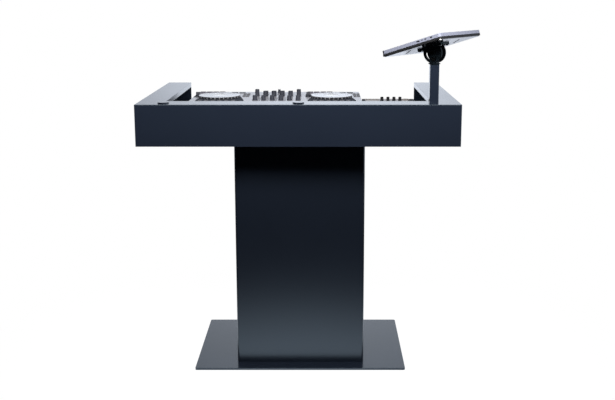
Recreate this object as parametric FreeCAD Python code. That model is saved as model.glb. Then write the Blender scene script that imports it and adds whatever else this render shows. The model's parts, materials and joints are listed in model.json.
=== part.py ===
import FreeCAD, Part
import math
import os

# Standing DJ booth: a steel tray with a wide rim on a pedestal, a player console and an
# effects unit in the tray, and a tablet on a tilting arm. Millimetres, +Z up, the front
# (audience side) faces -Y, and the origin is the middle of the base plate on the floor.

Vector = FreeCAD.Vector

# Shared fits
clearance = 0.3
shaft_fit = 0.05
overrun = 5.0

# Tray
tray_width = 1200.0
tray_depth = 750.0
tray_height = 156.0
tray_top = 1085.0
sheet = 3.0
tray_bend = 4.0
edge_round = 2.0
front_ledge = 104.0
side_ledge = 100.0
lip_drop = 20.0
floor_flange = 30.0

# Stations along the front ledge: two capped holes and the arm's post
station_pitch = 500.0
station_inset = 44.0
cap_hole = 36.0
cap_flange = 43.0
cap_height = 4.5
cap_round = 1.5
cap_plug_depth = 12.0
cap_wall = 3.0

# Base plate and pedestal
base_width = 840.0
base_depth = 520.0
base_thickness = 8.0
base_corner = 8.0
base_edge = 1.0
column_width = 510.0
column_depth = 400.0
column_wall = 3.0
column_bend = 10.0
column_return = 45.0
cover_thickness = 2.5
cover_overlap = 20.0
cable_notch_width = 90.0
cable_notch_height = 45.0
cable_hole = 130.0
foot_flange_width = 45.0
foot_flange_thickness = 8.0
head_plate_thickness = 8.0
bolt_shank = 12.0
bolt_head_across = 18.0
bolt_head_height = 7.5
bolt_short = 1.0
foot_bolt_side_inset = 22.0
head_bolt_spacing_x = 360.0
head_bolt_spacing_y = 220.0

# Gear shelf in the tray
deck_drop = 30.0
console_height = 70.0
shelf_sheet = 3.0
shelf_width = 960.0
shelf_front_gap = 50.0
shelf_back_gap = 20.0

# Player console
console_depth = 456.0
console_x = -101.0
console_y = 43.0
console_wall = 2.5
console_corner = 10.0
console_foot = 30.0
console_foot_height = 6.0
console_foot_inset = 40.0
top_thickness = 4.0
top_edge = 1.5
jog_spacing = 466.0
jog_shift = -5.2
console_margin = 31.0
jog_y = 80.0
deck_panel_front_share = 1.169
deck_panel_back_share = 0.8
deck_panel_depth = 236.0
deck_panel_y = 70.0
deck_panel_lean = 13.0
deck_panel_thickness = 1.5
deck_panel_corner = 18.0

# Jog wheels
jog_diameter = 172.0
jog_height = 8.0
jog_gap = 0.5
jog_hub = 24.0
jog_hub_depth = 14.0
jog_ring_width = 15.0
jog_ring_round = 1.5
jog_ring_step = 0.8
jog_dish = 62.0
jog_dish_depth = 1.0
jog_notches = 30
jog_notch = 6.0
jog_notch_depth = 1.2
jog_dimple = 22.0
jog_dimple_depth = 1.5

# Mixer controls in the middle of the console
mixer_columns = 6
mixer_left_share = 0.2014
mixer_right_share = 0.138
near_knob_y = -12.0
far_knob_y = 118.0
outer_knob_y = 128.0
near_knob = 20.0
near_knob_height = 20.0
far_knob = 21.0
far_knob_height = 22.0
outer_knob = 20.0
outer_knob_height = 28.0
knob_skirt = 3.0
knob_shaft = 6.0
knob_shaft_depth = 9.0
knob_round = 1.5
knob_mark = 1.6
knob_taper_share = 0.93
fader_y = 182.0
fader_travel = 30.0
fader_cap_width = 16.0
fader_cap_length = 13.0
fader_cap_height = 15.0
fader_stem = 2.4
fader_stem_length = 7.0
fader_stem_depth = 10.0
cross_y = 238.0
cross_travel = 22.0
tempo_gap = 3.5
tempo_y = 137.0
tempo_travel = 40.0
# Half outline of a fader cap: shares of its half length and of its height, from the
# foot up to the finger groove
fader_cap_shares = ((1.0, 0.0), (1.0, 0.35), (0.62, 1.0), (0.30, 1.0), (0.0, 0.78))

# Buttons, pads and display
button = 26.0
button_proud = 2.5
button_round = 1.0
button_y = 236.0
play_offset = 82.0
cue_offset = 50.0
pad_width = 24.0
pad_length = 19.0
pad_height = 3.0
pad_corner = 2.5
pad_columns = 4
pad_rows = 2
pad_pitch_x = 28.0
pad_pitch_y = 24.0
pad_first_offset = -90.0
pad_first_y = 224.0
display_width = 150.0
display_depth = 84.0
display_thickness = 2.0
display_corner = 5.0
display_y = -116.0

# Effects unit beside the console
unit_width = 212.0
unit_depth = 208.0
unit_gap = 2.0
unit_y = -75.0
unit_wall = 3.0
unit_corner = 6.0
unit_knobs = 4
unit_knob = 14.0
unit_knob_height = 20.0
unit_knob_pitch = 24.0
unit_knob_shift = 6.0
unit_knob_y = -66.0

# Arm post
post_size = 34.0
post_wall = 3.0
post_corner = 4.0
post_rise = 145.0
socket_depth = 45.0
socket_wall = 10.0
plug_depth = 30.0
plug_flange = 2.5
swivel_shaft = 16.0
swivel_shaft_depth = 24.0

# Tilting head. Its own axes: x along the pivot, y towards the high edge of the tablet,
# z square to the tablet, with the pivot as the zero point.
head_turn_deg = 231.6
tilt_rest_deg = 17.2
tilt_down_deg = 14.0
tilt_up_deg = 60.0
pivot_rise = 42.5
collar = 44.0
collar_gap = 0.6
yoke_width = 22.0
yoke_nose = 28.0
cheek_radius = 39.0
cheek_thickness = 4.0
pivot_shank = 8.0
pivot_head_across = 13.0
pivot_head_height = 5.5
lock_shank = 8.0
lock_head_across = 13.0
lock_head_height = 5.5
lock_reach = 24.5
lock_angle_deg = 285.0
slot_spare_deg = 30.0
slot_slack_deg = 2.0
head_plate_drop = 16.0
head_plate_width = 64.0
head_plate_length = 110.0
head_plate_gauge = 6.0
head_plate_corner = 12.0

# Tablet and its tray
tablet_width = 286.0
tablet_length = 254.5
tablet_shift = 6.0
tablet_thickness = 12.5
tablet_corner = 9.0
tablet_edge = 2.0
tablet_skin = 2.0
glass_thickness = 1.5
bezel = 7.0
frame_thickness = 8.0
frame_rail = 26.0
frame_corner = 9.0
stop_thickness = 6.0
stop_rise = 1.5
back_thickness = 2.5
back_inset = 4.0
back_corner = 8.0
back_slot_width = 6.0
back_slot_length = 96.0
back_slot_reach = 92.0
back_slots = 4

# Pure numbers
half_turn_deg = 180.0
full_turn_deg = 360.0
hex_sides = 6

# Levels and places that follow from the sizes above
tray_bottom = tray_top - tray_height
floor_top = tray_bottom + sheet
deck_top = tray_top - deck_drop
shelf_top = deck_top - console_height
front_face = -tray_depth / 2
back_face = tray_depth / 2
station_y = front_face + station_inset
post_top = tray_top + post_rise
pivot = Vector(station_pitch, station_y, post_top + pivot_rise)
column_inner_x = column_width / 2 - column_wall
column_inner_y = column_depth / 2 - column_wall
panel_top = deck_top + deck_panel_thickness
console_width = jog_spacing + jog_diameter + 2 * console_margin
jog_middle = console_x + jog_shift
jog_places = {"left": jog_middle - jog_spacing / 2, "right": jog_middle + jog_spacing / 2}
fader_slot = fader_stem + 2 * clearance
deck_panel_front = deck_panel_front_share * jog_diameter
deck_panel_back = deck_panel_back_share * jog_diameter
tempo_offset = -jog_diameter / 2 - tempo_gap - fader_cap_width / 2
mixer_room = jog_spacing - deck_panel_front
mixer_first_x = jog_places["left"] + deck_panel_front / 2 + mixer_left_share * mixer_room
mixer_pitch = mixer_room * (1 - mixer_left_share - mixer_right_share) / (mixer_columns - 1)
mixer_middle = mixer_first_x + mixer_pitch * (mixer_columns - 1) / 2
unit_x = console_x + console_width / 2 + unit_gap + unit_width / 2


def block(x0, x1, y0, y1, z0, z1):
    """Square-edged block between two corners."""
    return Part.makeBox(x1 - x0, y1 - y0, z1 - z0, Vector(x0, y0, z0))


def is_upright(edge):
    """True for an edge that runs straight along Z."""
    box = edge.BoundBox
    return box.XLength < shaft_fit and box.YLength < shaft_fit


def edges_at(shape, level):
    """Edges that lie flat at one height."""
    found = []
    for edge in shape.Edges:
        box = edge.BoundBox
        if box.ZLength < shaft_fit and abs(box.ZMax - level) < shaft_fit:
            found.append(edge)
    return found


def plate(width, depth, height, x, y, z, corner):
    """Plate with rounded upright corners, centred on x and y, standing on z."""
    slab = block(x - width / 2, x + width / 2, y - depth / 2, y + depth / 2, z, z + height)
    return slab.makeFillet(corner, [e for e in slab.Edges if is_upright(e)])


def round_rim(shape, level, radius):
    """Rounds every edge of a shape that lies at one height."""
    return shape.makeFillet(radius, edges_at(shape, level))


def disc(diameter, height, x, y, z):
    """Upright round bar."""
    return Part.makeCylinder(diameter / 2, height, Vector(x, y, z))


def cross_bar(diameter, x0, x1, y, z):
    """Round bar along X."""
    return Part.makeCylinder(diameter / 2, x1 - x0, Vector(x0, y, z), Vector(1, 0, 0))


def hex_head(across, height, x, y, z):
    """Hexagonal bolt head or nut whose axis runs along X."""
    reach = across / 2 / math.cos(math.pi / hex_sides)
    corners = []
    for side in range(hex_sides + 1):
        turn = 2 * math.pi * side / hex_sides
        corners.append(Vector(x, y + reach * math.cos(turn), z + reach * math.sin(turn)))
    return Part.Face(Part.makePolygon(corners)).extrude(Vector(height, 0, 0))


def turned(profile, x, y, z):
    """Solid of revolution about an upright axis, from radius and height pairs."""
    points = [Vector(r, 0, h) for r, h in profile]
    face = Part.Face(Part.makePolygon(points + points[:1]))
    solid = face.revolve(Vector(0, 0, 0), Vector(0, 0, 1), full_turn_deg)
    solid.translate(Vector(x, y, z))
    return solid


def fused(shapes):
    """One solid from touching shapes, with seams in a plane removed."""
    return shapes[0].multiFuse(shapes[1:]).removeSplitter()


def place_head(shape, tilt):
    """Moves a shape from the head's own axes to its place on the post."""
    turn = FreeCAD.Rotation(Vector(0, 0, 1), head_turn_deg)
    lean = FreeCAD.Rotation(Vector(1, 0, 0), tilt)
    moved = shape.copy()
    moved.Placement = FreeCAD.Placement(pivot, turn.multiply(lean))
    return moved


def tray_shell():
    """Welded skin: front, sides, back corners, and the rim with its turned-down lip."""
    half = tray_width / 2
    skin = block(-half, half, front_face, back_face, tray_bottom, tray_top)
    front_corners = [e for e in skin.Edges if is_upright(e) and e.BoundBox.YMax < 0]
    skin = skin.makeFillet(tray_bend, front_corners)
    room = block(sheet - half, half - sheet, front_face + sheet, back_face - sheet,
                 tray_bottom - overrun, tray_top - sheet)
    rim_x = half - side_ledge
    rim_y = front_face + front_ledge
    well = block(-rim_x, rim_x, rim_y, back_face + overrun, tray_bottom - overrun, tray_top + overrun)
    lip = block(-rim_x - sheet, rim_x + sheet, rim_y - sheet, back_face - sheet,
                tray_top - lip_drop, tray_top - sheet)
    shell = fused([skin.cut(room), lip]).cut(well)
    shell = round_rim(shell, tray_top, edge_round)
    for x in (-station_pitch, 0):
        shell = shell.cut(disc(cap_hole, sheet + 2 * overrun, x, station_y, tray_top - sheet - overrun))
    opening = post_size + 2 * clearance
    return shell.cut(plate(opening, opening, sheet + 2 * overrun, station_pitch, station_y,
                           tray_top - sheet - overrun, post_corner))


def tray_floor():
    """Folded pan that closes the tray from below, open towards the back."""
    x = tray_width / 2 - sheet - clearance
    front = front_face + sheet + clearance
    back = back_face - sheet - clearance
    pan = block(-x, x, front, back, tray_bottom, tray_bottom + floor_flange)
    hollow = block(sheet - x, x - sheet, front + sheet, back + overrun, floor_top,
                   tray_bottom + floor_flange + overrun)
    pan = pan.cut(hollow).cut(disc(cable_hole, sheet + 2 * overrun, 0, 0, tray_bottom - overrun))
    for x, y in head_bolt_places():
        pan = pan.cut(disc(bolt_shank + 2 * clearance, sheet + 2 * overrun, x, y, tray_bottom - overrun))
    return pan


def socket_caps():
    """Blanking caps for the two free holes in the front ledge."""
    caps = []
    plug = cap_hole / 2 - clearance
    for x in (-station_pitch, 0):
        profile = ((0, 0), (0, cap_height), (cap_flange / 2 - cap_round, cap_height),
                   (cap_flange / 2, cap_height - cap_round), (cap_flange / 2, 0), (plug, 0),
                   (plug, -cap_plug_depth), (plug - cap_wall, -cap_plug_depth), (plug - cap_wall, 0))
        caps.append(turned(profile, x, station_y, tray_top))
    return Part.makeCompound(caps)


def base_plate():
    """Floor plate with rounded corners and blind holes for the pedestal's bolts."""
    slab = plate(base_width, base_depth, base_thickness, 0, 0, 0, base_corner)
    slab = round_rim(slab, base_thickness, base_edge)
    for x, y in foot_bolt_places():
        slab = slab.cut(disc(bolt_shank + 2 * clearance, base_thickness, x, y, bolt_short))
    return slab


def column_shell():
    """Folded pedestal: front, two sides and return flanges beside the back opening."""
    height = tray_bottom - base_thickness
    outer = plate(column_width, column_depth, height, 0, 0, base_thickness, column_bend)
    inner = plate(2 * column_inner_x, 2 * column_inner_y, height + 2 * overrun, 0, 0,
                  base_thickness - overrun, column_bend - column_wall)
    half = column_width / 2 - column_return
    opening = block(-half, half, 0, column_depth, base_thickness - overrun, tray_bottom + overrun)
    return outer.cut(inner).cut(opening)


def column_rear_cover():
    """Flat cover behind the return flanges, with a rounded notch for cables at the foot."""
    half = column_width / 2 - column_return + cover_overlap
    cover = block(-half, half, column_inner_y - cover_thickness, column_inner_y, base_thickness, tray_bottom)
    low = base_thickness - overrun
    notch = block(-cable_notch_width / 2, cable_notch_width / 2, 0, column_depth, low,
                  base_thickness + cable_notch_height)
    top = [e for e in notch.Edges if e.BoundBox.ZMin > base_thickness and e.BoundBox.XLength < clearance]
    return cover.cut(notch.makeFillet(cable_notch_height / 2, top))


def column_ring(thickness, z):
    """Plate that fills the pedestal's inside at one height, rounded to clear its bends."""
    x = column_inner_x - clearance
    back = column_inner_y - cover_thickness - clearance
    slab = block(-x, x, clearance - column_inner_y, back, z, z + thickness)
    return slab.makeFillet(column_bend - column_wall, [e for e in slab.Edges if is_upright(e)])


def foot_bolt_places():
    """Bolts along the two sides of the foot flange."""
    x = column_inner_x - foot_bolt_side_inset
    y = column_inner_y - foot_flange_width
    return [(sx * x, sy * y) for sx in (-1, 1) for sy in (-1, 0, 1)]


def head_bolt_places():
    """Bolts that hold the tray down on the pedestal's head plate."""
    return [(sx * head_bolt_spacing_x / 2, sy * head_bolt_spacing_y / 2) for sx in (-1, 1) for sy in (-1, 1)]


def column_foot_flange():
    """Ring inside the pedestal's foot, bolted to the base plate."""
    ring = column_ring(foot_flange_thickness, base_thickness)
    x = column_inner_x - foot_flange_width
    y = column_inner_y - foot_flange_width
    ring = ring.cut(block(-x, x, -y, y, base_thickness - overrun,
                          base_thickness + foot_flange_thickness + overrun))
    for x, y in foot_bolt_places():
        ring = ring.cut(disc(bolt_shank + 2 * clearance, foot_flange_thickness + 2 * overrun, x, y,
                             base_thickness - overrun))
    return ring


def column_head_plate():
    """Plate inside the pedestal's top, with the cable hole."""
    z = tray_bottom - head_plate_thickness
    head = column_ring(head_plate_thickness, z)
    deep = head_plate_thickness + 2 * overrun
    head = head.cut(disc(cable_hole, deep, 0, 0, z - overrun))
    for x, y in head_bolt_places():
        head = head.cut(disc(bolt_shank + 2 * clearance, deep, x, y, z - overrun))
    return head


def upright_bolt(x, y, seat, length):
    """Hexagon bolt that hangs down from the face it seats on."""
    head = hex_head(bolt_head_across, bolt_head_height, 0, 0, 0)
    head.rotate(Vector(0, 0, 0), Vector(0, 1, 0), -half_turn_deg / 2)
    head.translate(Vector(x, y, seat))
    return fused([head, disc(bolt_shank, length, x, y, seat - length)])


def frame_bolts():
    """Bolts of the foot flange and of the tray floor."""
    seat = base_thickness + foot_flange_thickness
    bolts = [upright_bolt(x, y, seat, seat - 2 * bolt_short) for x, y in foot_bolt_places()]
    length = sheet + head_plate_thickness
    bolts += [upright_bolt(x, y, floor_top, length) for x, y in head_bolt_places()]
    return Part.makeCompound(bolts)


def gear_shelf():
    """Folded shelf that lifts the gear, with legs on three sides and an open back."""
    half = shelf_width / 2
    front = front_face + front_ledge + shelf_front_gap
    back = back_face - shelf_back_gap
    shelf = block(-half, half, front, back, floor_top, shelf_top)
    bay = block(shelf_sheet - half, half - shelf_sheet, front + shelf_sheet, back + overrun,
                floor_top - overrun, shelf_top - shelf_sheet)
    return shelf.cut(bay)


def console_case():
    """Lower case of the console, open at the top."""
    z = shelf_top + console_foot_height
    height = deck_top - top_thickness - z
    case = plate(console_width, console_depth, height, console_x, console_y, z, console_corner)
    room = plate(console_width - 2 * console_wall, console_depth - 2 * console_wall, height, console_x,
                 console_y, z + console_wall, console_corner - console_wall)
    return case.cut(room)


def console_feet():
    """Rubber feet under the console."""
    x = console_width / 2 - console_foot_inset
    y = console_depth / 2 - console_foot_inset
    feet = [disc(console_foot, console_foot_height, console_x + sx * x, console_y + sy * y, shelf_top)
            for sx in (-1, 1) for sy in (-1, 1)]
    return Part.makeCompound(feet)


def top_cut(width, depth, x, y):
    """Square slot right through the console's top plate."""
    low = deck_top - top_thickness - overrun
    return block(x - width / 2, x + width / 2, y - depth / 2, y + depth / 2, low, deck_top + overrun)


def top_hole(diameter, x, y):
    """Round hole right through the console's top plate."""
    return disc(diameter, top_thickness + 2 * overrun, x, y, deck_top - top_thickness - overrun)


def mixer_x(column):
    """Place of a mixer column across the console."""
    return mixer_first_x + column * mixer_pitch


def mixer_knob_places():
    """Name to diameter, height and place of every mixer knob."""
    places = {}
    for column in range(mixer_columns):
        x = mixer_x(column)
        outer = column in (0, mixer_columns - 1)
        places["mixer_knob_near_%d" % (column + 1)] = (near_knob, near_knob_height, x, near_knob_y)
        far = (outer_knob, outer_knob_height, x, outer_knob_y)
        if not outer:
            far = (far_knob, far_knob_height, x, far_knob_y)
        places["mixer_knob_far_%d" % (column + 1)] = far
    return places


def fader_places():
    """Name to place, half travel and turn of every fader."""
    places = {}
    for column in range(1, mixer_columns - 1):
        places["channel_fader_%d" % column] = (mixer_x(column), fader_y, fader_travel, 0)
    places["crossfader"] = (mixer_middle, cross_y, cross_travel, half_turn_deg / 2)
    for side, x in jog_places.items():
        places["tempo_fader_" + side] = (x + tempo_offset, tempo_y, tempo_travel, 0)
    return places


def button_places():
    """Name to place of the play and cue buttons."""
    places = {}
    for side, x in jog_places.items():
        places["play_button_" + side] = (x + play_offset, button_y)
        places["cue_button_" + side] = (x + cue_offset, button_y)
    return places


def console_top():
    """Top plate of the console, pierced for every control."""
    z = deck_top - top_thickness
    top = plate(console_width, console_depth, top_thickness, console_x, console_y, z, console_corner)
    top = round_rim(top, deck_top, top_edge)
    cuts = [top_hole(jog_hub + 2 * clearance, x, jog_y) for x in jog_places.values()]
    cuts += [top_hole(knob_shaft + 2 * clearance, x, y) for d, h, x, y in mixer_knob_places().values()]
    cuts += [top_hole(button + 2 * clearance, x, y) for x, y in button_places().values()]
    for x, y, travel, turn in fader_places().values():
        long = 2 * travel + fader_stem_length + 2 * clearance
        cuts.append(top_cut(long, fader_slot, x, y) if turn else top_cut(fader_slot, long, x, y))
    return top.cut(Part.makeCompound(cuts))


def deck_panels():
    """Dark inlays under the jog wheels, narrower towards the back, the left one leaning in."""
    panels = []
    front = deck_panel_y - deck_panel_depth / 2
    leans = {"left": deck_panel_lean, "right": 0}
    for side, x in jog_places.items():
        ends = ((front, x + leans[side], deck_panel_front, (-1, 1)),
                (front + deck_panel_depth, x, deck_panel_back, (1, -1)))
        corners = [Vector(middle + way * width / 2, y, deck_top)
                   for y, middle, width, ways in ends for way in ways]
        inlay = Part.Face(Part.makePolygon(corners + corners[:1]))
        inlay = inlay.extrude(Vector(0, 0, deck_panel_thickness))
        inlay = inlay.makeFillet(deck_panel_corner, [e for e in inlay.Edges if is_upright(e)])
        panels.append(inlay.cut(disc(jog_hub + 2 * clearance, 2 * overrun, x, jog_y, deck_top - overrun)))
    return Part.makeCompound(panels)


def jog_wheel(x):
    """Platter with a notched grip ring, a dished middle, a finger dimple and its hub."""
    rim = jog_diameter / 2
    ring = rim - jog_ring_width
    deck = jog_height - jog_ring_step
    floor = deck - jog_dish_depth
    hub = jog_hub / 2
    foot = -jog_hub_depth - deck_panel_thickness
    profile = ((0, foot), (hub, foot), (hub, 0), (rim, 0), (rim, jog_height - jog_ring_round),
               (rim - jog_ring_round, jog_height), (ring, jog_height), (ring, deck),
               (jog_dish / 2, deck), (jog_dish / 2, floor), (0, floor))
    wheel = turned(profile, 0, 0, 0)
    notches = []
    for count in range(jog_notches):
        turn = 2 * math.pi * count / jog_notches
        reach = rim + jog_notch / 2 - jog_notch_depth
        notches.append(disc(jog_notch, jog_height + 2 * overrun, reach * math.cos(turn),
                            reach * math.sin(turn), -overrun))
    ball = (jog_dimple ** 2 / 4 + jog_dimple_depth ** 2) / (2 * jog_dimple_depth)
    middle = (ring + jog_dish / 2) / 2
    notches.append(Part.makeSphere(ball, Vector(0, middle, deck + ball - jog_dimple_depth)))
    wheel = wheel.cut(Part.makeCompound(notches))
    wheel.translate(Vector(x, jog_y, panel_top + jog_gap))
    return wheel


def knob(diameter, height, x, y):
    """Skirted, tapered knob with a pointer groove and its shaft."""
    wide = diameter / 2
    neck = wide * knob_taper_share
    tip = neck * knob_taper_share
    shaft = knob_shaft / 2
    profile = ((0, -knob_shaft_depth), (shaft, -knob_shaft_depth), (shaft, 0), (wide, 0), (wide, knob_skirt),
               (neck, knob_skirt + knob_round), (tip, height - knob_round), (tip - knob_round, height),
               (0, height))
    body = turned(profile, 0, 0, 0)
    mark = block(-knob_mark / 2, knob_mark / 2, 0, wide, height - knob_mark, height + overrun)
    body = body.cut(mark)
    body.translate(Vector(x, y, deck_top + clearance))
    return body


def fader(x, y, turn):
    """Fader cap with a finger groove, and the stem that passes through the slot."""
    half = fader_cap_length / 2
    right = [Vector(0, half * a, fader_cap_height * b) for a, b in fader_cap_shares]
    left = [Vector(0, -point.y, point.z) for point in reversed(right[:-1])]
    outline = Part.makePolygon(right + left + right[:1])
    cap = Part.Face(outline).extrude(Vector(fader_cap_width, 0, 0))
    cap.translate(Vector(-fader_cap_width / 2, 0, 0))
    stem = block(-fader_stem / 2, fader_stem / 2, -fader_stem_length / 2, fader_stem_length / 2,
                 -fader_stem_depth, 0)
    whole = fused([cap, stem])
    whole.rotate(Vector(0, 0, 0), Vector(0, 0, 1), turn)
    whole.translate(Vector(x, y, deck_top + clearance))
    return whole


def push_button(x, y):
    """Round button that slides in its hole."""
    body = disc(button, top_thickness + button_proud, x, y, deck_top - top_thickness)
    return round_rim(body, deck_top + button_proud, button_round)


def pads():
    """Rubber pads beside the buttons, on both decks."""
    group = []
    for x in jog_places.values():
        for column in range(pad_columns):
            for row in range(pad_rows):
                group.append(plate(pad_width, pad_length, pad_height,
                                   x + pad_first_offset + column * pad_pitch_x,
                                   pad_first_y + row * pad_pitch_y, deck_top, pad_corner))
    return Part.makeCompound(group)


def display_glass():
    """Display on the audience side of the mixer."""
    return plate(display_width, display_depth, display_thickness, mixer_middle, display_y, deck_top,
                 display_corner)


def unit_knob_places():
    """Name to place of the effects unit's knobs."""
    first = unit_x + unit_knob_shift - unit_knob_pitch * (unit_knobs - 1) / 2
    return {"unit_knob_%d" % (n + 1): (first + n * unit_knob_pitch, unit_knob_y) for n in range(unit_knobs)}


def unit_case():
    """Effects unit: a case that is open below, with a hole for each knob's shaft."""
    case = plate(unit_width, unit_depth, deck_top - shelf_top, unit_x, unit_y, shelf_top, unit_corner)
    case = round_rim(case, deck_top, top_edge)
    room = plate(unit_width - 2 * unit_wall, unit_depth - 2 * unit_wall,
                 deck_top - unit_wall - shelf_top + overrun, unit_x, unit_y, shelf_top - overrun,
                 unit_corner - unit_wall)
    holes = [top_hole(knob_shaft + 2 * clearance, x, y) for x, y in unit_knob_places().values()]
    return case.cut(room).cut(Part.makeCompound(holes))


def post_tube():
    """Square tube that passes through the ledge into its socket."""
    low = tray_top - sheet - socket_depth
    height = post_top - plug_flange - low
    tube = plate(post_size, post_size, height, station_pitch, station_y, low, post_corner)
    bore = post_size - 2 * post_wall
    return tube.cut(plate(bore, bore, height + 2 * overrun, station_pitch, station_y, low - overrun,
                          post_corner - post_wall))


def post_socket():
    """Sleeve under the ledge that holds the post."""
    bore = post_size + 2 * clearance
    size = bore + 2 * socket_wall
    low = tray_top - sheet - socket_depth
    sleeve = plate(size, size, socket_depth, station_pitch, station_y, low, post_corner)
    return sleeve.cut(plate(bore, bore, socket_depth + 2 * overrun, station_pitch, station_y,
                            low - overrun, post_corner))


def post_plug():
    """Plug in the post's top, with the bearing bore for the swivel."""
    flange = plate(post_size, post_size, plug_flange, station_pitch, station_y, post_top - plug_flange,
                   post_corner)
    core = post_size - 2 * post_wall - 2 * clearance
    stem = plate(core, core, plug_depth, station_pitch, station_y, post_top - plug_flange - plug_depth,
                 post_corner - post_wall)
    bore = disc(swivel_shaft + 2 * shaft_fit, plug_depth + plug_flange + 2 * overrun, station_pitch,
                station_y, post_top - plug_flange - plug_depth - overrun)
    return fused([flange, stem]).cut(bore)


def lock_point():
    """Place of the lock bolt, in the head's axes before the tilt."""
    turn = math.radians(lock_angle_deg)
    return lock_reach * math.cos(turn), lock_reach * math.sin(turn)


def head_yoke():
    """Swivel shaft, collar and lug with the pivot and lock bolt holes."""
    floor = clearance - pivot_rise
    top = -cheek_radius - collar_gap
    half = yoke_width / 2
    nose = cross_bar(yoke_nose, -half, half, 0, 0)
    lug = block(-half, half, -yoke_nose / 2, yoke_nose / 2, floor, 0)
    shaft = disc(swivel_shaft, swivel_shaft_depth, 0, 0, floor - swivel_shaft_depth)
    body = fused([disc(collar, top - floor, 0, 0, floor), lug, nose, shaft])
    body = body.cut(cross_bar(pivot_shank + 2 * shaft_fit, -half - overrun, half + overrun, 0, 0))
    y, z = lock_point()
    body = body.cut(cross_bar(lock_shank + 2 * shaft_fit, -half - overrun, half + overrun, y, z))
    return place_head(body, 0)


def through_bolt(shank, across, height, y, z):
    """Bolt and nut across the yoke and both cheeks."""
    seat = yoke_width / 2 + 2 * clearance + cheek_thickness
    parts = [cross_bar(shank, -seat - height, seat + height, y, z),
             hex_head(across, height, seat, y, z), hex_head(across, height, -seat - height, y, z)]
    return place_head(fused(parts), 0)


def arc_slot(x0, x1, reach, width, start, end):
    """Curved slot about the pivot, along X."""
    half = width / 2

    def at(radius, angle):
        turn = math.radians(angle)
        return Vector(x0, radius * math.cos(turn), radius * math.sin(turn))

    def cap(angle, side):
        middle = at(reach, angle)
        ahead = at(half, angle + side * half_turn_deg / 2) - Vector(x0, 0, 0)
        return middle + ahead

    centre = (start + end) / 2
    edges = [Part.Arc(at(reach + half, start), at(reach + half, centre), at(reach + half, end)),
             Part.Arc(at(reach + half, end), cap(end, 1), at(reach - half, end)),
             Part.Arc(at(reach - half, end), at(reach - half, centre), at(reach - half, start)),
             Part.Arc(at(reach - half, start), cap(start, -1), at(reach + half, start))]
    outline = Part.Wire([edge.toShape() for edge in edges])
    return Part.Face(outline).extrude(Vector(x1 - x0, 0, 0))


def tilt_bracket():
    """Two slotted cheeks welded under the head plate."""
    inner = yoke_width / 2 + clearance
    outer = inner + cheek_thickness
    plate_top = head_plate_drop + head_plate_gauge
    head = plate(head_plate_width, head_plate_length, head_plate_gauge, 0, 0, head_plate_drop,
                 head_plate_corner)
    above = block(-outer - overrun, outer + overrun, -cheek_radius, cheek_radius, head_plate_drop,
                  plate_top + cheek_radius)
    at_rest = lock_angle_deg - tilt_rest_deg
    slot = arc_slot(-outer - overrun, outer + overrun, lock_reach, lock_shank + 2 * clearance,
                    at_rest - tilt_up_deg - slot_spare_deg, at_rest + tilt_down_deg + slot_slack_deg)
    hole = cross_bar(pivot_shank + 2 * clearance, -outer - overrun, outer + overrun, 0, 0)
    pieces = [head]
    for low, high in ((-outer, -inner), (inner, outer)):
        cheek = cross_bar(2 * cheek_radius, low, high, 0, 0)
        pieces.append(cheek.cut(above).cut(slot).cut(hole))
    return place_head(fused(pieces), tilt_rest_deg)


back_low = head_plate_drop + head_plate_gauge
frame_low = back_low + back_thickness
tablet_low = frame_low + frame_thickness
tablet_high = tablet_low + tablet_thickness


def tablet_back_plate():
    """Pale back plate with four slots set as a diamond."""
    back = plate(tablet_width - 2 * back_inset, tablet_length - 2 * back_inset, back_thickness,
                 tablet_shift, 0, back_low, back_corner)
    for count in range(back_slots):
        slot = plate(back_slot_length, back_slot_width, back_thickness + 2 * overrun, 0, back_slot_reach,
                     back_low - overrun, back_slot_width / 2 - shaft_fit)
        slot.rotate(Vector(0, 0, 0), Vector(0, 0, 1), full_turn_deg * (count + 1 / 2) / back_slots)
        slot.translate(Vector(tablet_shift, 0, 0))
        back = back.cut(slot)
    return place_head(back, tilt_rest_deg)


def tablet_frame():
    """Black tray frame with a stop along the low edge."""
    ring = plate(tablet_width, tablet_length, frame_thickness, tablet_shift, 0, frame_low, frame_corner)
    room = plate(tablet_width - 2 * frame_rail, tablet_length - 2 * frame_rail,
                 frame_thickness + 2 * overrun, tablet_shift, 0, frame_low - overrun, frame_corner)
    half = tablet_width / 2 - frame_corner
    low_edge = -tablet_length / 2
    stop = block(tablet_shift - half, tablet_shift + half, low_edge, low_edge + stop_thickness, frame_low,
                 tablet_high + stop_rise)
    crest = [e for e in edges_at(stop, tablet_high + stop_rise) if e.BoundBox.XLength > stop_thickness]
    stop = stop.makeFillet(stop_rise, crest)
    reach = tablet_width / 2 - frame_rail
    bridge = block(tablet_shift - reach, tablet_shift + reach, -frame_rail / 2, frame_rail / 2, frame_low,
                   tablet_low)
    return place_head(fused([ring.cut(room), bridge, stop]), tilt_rest_deg)


def tablet_slab(height, low, inset, corner):
    """Plate of the tablet's outline, drawn in by an inset."""
    length = tablet_length - stop_thickness - clearance
    middle = (stop_thickness + clearance) / 2
    return plate(tablet_width - 2 * inset, length - 2 * inset, height, tablet_shift, middle, low, corner)


def tablet_body():
    """Hollow metal body of the tablet, with a seat for the glass."""
    body = tablet_slab(tablet_thickness, tablet_low, 0, tablet_corner)
    body = round_rim(body, tablet_high, tablet_edge)
    seat = tablet_slab(glass_thickness + overrun, tablet_high - glass_thickness, bezel - clearance,
                       tablet_corner)
    room = tablet_slab(tablet_thickness, tablet_low + tablet_skin, bezel + tablet_skin, tablet_corner)
    return place_head(body.cut(seat).cut(room), tilt_rest_deg)


def tablet_glass():
    """Screen glass, flush in its seat."""
    return place_head(tablet_slab(glass_thickness, tablet_high - glass_thickness, bezel, tablet_corner),
                      tilt_rest_deg)


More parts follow.
